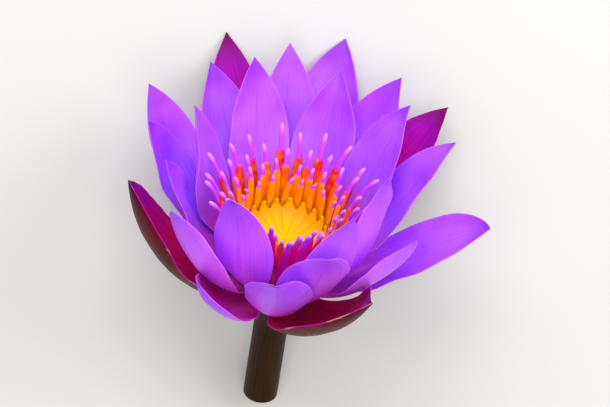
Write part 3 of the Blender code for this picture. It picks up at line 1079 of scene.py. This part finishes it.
def stem_material(settings):
    """Rind of the stem: smooth, waxy and dark, olive-brown with lengthwise streaks, and
    greener where it widens into the receptacle."""
    material, tree, shader = new_material("stem_rind")
    around, along = skin_places(tree)
    turn = node(tree, "Math", {0: around, 1: math.tau}, operation="MULTIPLY")
    sides = [node(tree, "Math", {0: turn}, operation=axis) for axis in ("COSINE", "SINE")]
    where = node(tree, "CombineXYZ", {0: sides[0], 1: sides[1], 2: along})
    drawn_out = node(tree, "VectorMath", {0: where, 1: (9.0, 9.0, 2.5)}, operation="MULTIPLY")
    streak = node(tree, "TexNoise", {
        "Vector": drawn_out, "Scale": 1.0, "Detail": 5.0, "Roughness": 0.65,
    })
    colour = node(tree, "ValToRGB", {0: along}, stops=[
        (0.0, settings.rind), (0.5, settings.rind), (0.8, settings.receptacle),
        (0.9, "F0A000"), (1.0, "FFC400"),
    ])
    streaked = tinted(tree, colour, settings.streak, streak, (0.38, 0.66), (0.0, 0.85))
    dress(tree, shader, streaked, streak, 0.35, 0.3, {
        "Roughness": 0.42, "IOR": 1.4, "Specular IOR Level": 0.12,
    })
    return material


def cut_material(settings):
    """Cut flesh of the stem: pale, wet, spongy tissue."""
    material, tree, shader = new_material("stem_cut_flesh")
    where = node(tree, "TexCoord").outputs["Object"]
    pores = node(tree, "TexVoronoi", {"Vector": where, "Scale": 2200.0})
    colour = tinted(tree, opaque("8C8A4A"), settings.flesh, pores, (0.1, 0.6), (0.0, 0.7))
    dress(tree, shader, colour, pores, 0.5, 0.2, {
        "Roughness": 0.5, "IOR": 1.38, "Subsurface Weight": 0.2, "Subsurface Scale": 0.001,
    })
    return material


# Air channels of the stem: (number, distance from the middle, radius)
CHANNELS = [(4, 2.0, 1.05), (10, 4.15, 0.5)]
CHANNEL_DEPTH = 12.0
CHANNEL_SIDES = 24
CUT_BEVEL = 0.25
UNDER_DISC = (10.5, 1.6)  # (radius, height) where the receptacle goes in under the disc
SHARP_ANGLE = math.radians(40)


def channel_rods(material):
    """Rods in the places of the stem's air channels, reaching out of its cut end."""
    rods = []
    end = STEM_PROFILE[0][1]
    for count, distance, radius in CHANNELS:
        straight = turned_loops([(radius, end - 1), (radius, end + CHANNEL_DEPTH)], CHANNEL_SIDES)
        for number in range(count):
            angle = math.tau * (number + 0.5) / count
            offset = np.array([distance * math.cos(angle), distance * math.sin(angle), 0.0])
            rod = skin(f"channel_{len(rods)}", [loop + offset for loop in straight],
                       np.arange(CHANNEL_SIDES + 1) / CHANNEL_SIDES, [0, 1])
            rod.materials.append(material)
            rods.append(rod)
    return rods


class LilyStemSettings(bpy.types.PropertyGroup):
    """Colours and relief of the stem"""

    rind: colour_choice("Rind", "Main colour of the stem", "341E02")
    streak: colour_choice("Streak", "Darker lengthwise streaks", "1C1004")
    receptacle: colour_choice("Receptacle", "Colour where the stem widens", "5A4A16")
    flesh: colour_choice("Flesh", "Colour of the cut end", "C9C48E")
    ribs: IntProperty(
        name="Ribs", description="Faint lengthwise ribs around the stem", default=22, min=0)
    rib_height: length_choice("Rib height", "Height of the ribs", 0.025)


class LILY_OT_stem(bpy.types.Operator):
    """Build the stem and its receptacle, with air channels at the cut end"""

    bl_idname = "lily.stem"
    bl_label = "Stem"

    def execute(self, context):
        look = context.scene.lily_stem
        end_radius, end = STEM_PROFILE[0]
        cut_end = [(end_radius - CUT_BEVEL, end), (end_radius, end + CUT_BEVEL)]
        straight = [(end_radius, end + height) for height in (10, 20, 30)]
        widening = cut_corners(STEM_PROFILE[1:] + [UNDER_DISC], 3)
        profile = np.concatenate([cut_end, straight, widening])
        mesh = skin("stem_rind", turned_loops(profile, STEM_SIDES, look.ribs, look.rib_height / MM),
                    np.arange(STEM_SIDES + 1) / STEM_SIDES, shares_along(profile))
        flesh = cut_material(look)
        mesh.materials.append(stem_material(look))
        mesh.materials.append(flesh)
        # The cap across the low end is the cut
        for face in mesh.polygons:
            if face.center.z < (end + 0.01) * MM:
                face.material_index = 1
        stem = add_object("stem_uncut", mesh)
        cutters = []
        for rod in channel_rods(flesh):
            cutter = add_object(rod.name, rod)
            cut = stem.modifiers.new(cutter.name, "BOOLEAN")
            cut.operation = "DIFFERENCE"
            cut.solver = "EXACT"
            cut.object = cutter
            cutters.append(cutter)
        drilled = baked_mesh(stem, cutters)
        drilled.set_sharp_from_angle(angle=SHARP_ANGLE)
        add_piece("stem_and_receptacle", drilled, ("stem",))
        return {"FINISHED"}


# --- Stage ---


class LilyStageSettings(bpy.types.PropertyGroup):
    """Floor, lights and camera"""

    floor: colour_choice("Floor", "Colour of the floor", "C6C5C1")
    elevation: FloatProperty(
        name="Elevation", description="Height of the view above the flower's plane",
        unit="ROTATION", default=math.radians(42.5))
    roll: FloatProperty(
        name="Roll", description="Roll of the camera", unit="ROTATION", default=math.radians(9))
    distance: FloatProperty(
        name="Distance", description="From the flower to the camera", unit="LENGTH",
        default=2.4, min=0.1)
    view_width: FloatProperty(
        name="View width", description="Width of what the camera sees at the flower",
        unit="LENGTH", default=196.8 * MM, min=MM)
    aim_right: FloatProperty(
        name="Aim right", description="Middle of the view, right of the flower's middle",
        unit="LENGTH", default=7.1 * MM)
    aim_up: FloatProperty(
        name="Aim up", description="Middle of the view, above the flower's middle",
        unit="LENGTH", default=13.7 * MM)


FLOOR_REACH = 3.0         # metres
LIT_PLACE = (0.0, 0.0, 15 * MM)
# (name, direction in the flower's frame, distance in metres, size in metres, power in watts)
LIGHTS = [
    ("key", (-0.15, -0.3, 1.0), 0.9, 0.6, 5.6),
    ("front", (0.0, -1.0, 0.45), 1.1, 0.9, 5.2),
    ("side", (0.75, -0.3, 0.75), 1.1, 0.7, 6.0),
]


class LILY_OT_stage(bpy.types.Operator):
    """Set up the pale floor, the soft lights and the camera"""

    bl_idname = "lily.stage"
    bl_label = "Stage"

    def execute(self, context):
        look = context.scene.lily_stage
        scene = context.scene
        sheet = bpy.data.meshes.new("floor_sheet")
        corners = [(-1, -1), (1, -1), (1, 1), (-1, 1)]
        sheet.from_pydata([(x * FLOOR_REACH, y * FLOOR_REACH, 0) for x, y in corners], [],
                          [(0, 1, 2, 3)])
        # Uncoated white paper, which gives no reflections
        material, _, shader = new_material("matt_paper")
        shader.inputs["Base Color"].default_value = opaque(look.floor)
        shader.inputs["Roughness"].default_value = 0.8
        sheet.materials.append(material)
        add_object("floor", sheet)

        world = bpy.data.worlds.new("soft_sky")
        world.use_nodes = True
        background = world.node_tree.nodes["Background"]
        background.inputs["Color"].default_value = (1.0, 1.0, 1.0, 1.0)
        background.inputs["Strength"].default_value = 0.6
        scene.world = world
        scene.view_settings.view_transform = "Standard"

        middle = FLOWER @ Vector(LIT_PLACE)
        for name, direction, distance, size, power in LIGHTS:
            lamp = bpy.data.lights.new(name, "AREA")
            lamp.shape = "DISK"
            lamp.size = size
            lamp.energy = power
            light = add_object(name, lamp)
            towards = (FLOWER.to_3x3() @ Vector(direction)).normalized()
            light.location = middle + towards * distance
            light.rotation_euler = towards.to_track_quat("Z", "Y").to_euler()

        lift, roll = look.elevation, look.roll
        level = Vector((1.0, 0.0, 0.0))
        upright = Vector((0.0, math.sin(lift), math.cos(lift)))
        right = level * math.cos(roll) + upright * math.sin(roll)
        up = upright * math.cos(roll) - level * math.sin(roll)
        back = right.cross(up)
        view = Matrix((right, up, back)).transposed().to_4x4()
        view.translation = right * look.aim_right + up * look.aim_up + back * look.distance
        data = bpy.data.cameras.new("camera")
        data.lens = data.sensor_width * look.distance / look.view_width
        data.clip_end = 20.0
        scene.camera = add_object("camera", data)
        scene.camera.matrix_world = FLOWER @ view
        return {"FINISHED"}


class LILY_PT_flower(bpy.types.Panel):
    """Lists the pieces of the flower and its stage"""

    bl_label = "Water Lily"
    bl_space_type = "VIEW_3D"
    bl_region_type = "UI"
    bl_category = "Water Lily"

    def draw(self, context):
        for operator, _ in PARTS:
            self.layout.operator(operator.bl_idname)


# Each operator with the settings that it reads, in the order in which they run
PARTS = [
    (LILY_OT_stage, ("lily_stage", LilyStageSettings)),
    (LILY_OT_stem, ("lily_stem", LilyStemSettings)),
    (LILY_OT_stigma_disc, ("lily_stigma", LilyStigmaSettings)),
    (LILY_OT_stamens, ("lily_stamens", LilyStamenSettings)),
    (LILY_OT_petals, ("lily_petals", LilyPetalSettings)),
    (LILY_OT_sepals, ("lily_sepals", LilySepalSettings)),
]


def register():
    for operator, (name, group) in PARTS:
        bpy.utils.register_class(group)
        bpy.utils.register_class(operator)
        setattr(bpy.types.Scene, name, PointerProperty(type=group))
    bpy.utils.register_class(LILY_PT_flower)


def unregister():
    bpy.utils.unregister_class(LILY_PT_flower)
    for operator, (name, group) in reversed(PARTS):
        delattr(bpy.types.Scene, name)
        bpy.utils.unregister_class(operator)
        bpy.utils.unregister_class(group)


def main():
    register()
    for operator, _ in PARTS:
        family, name = operator.bl_idname.split(".")
        getattr(getattr(bpy.ops, family), name)()


if __name__ == "__main__":
    main()
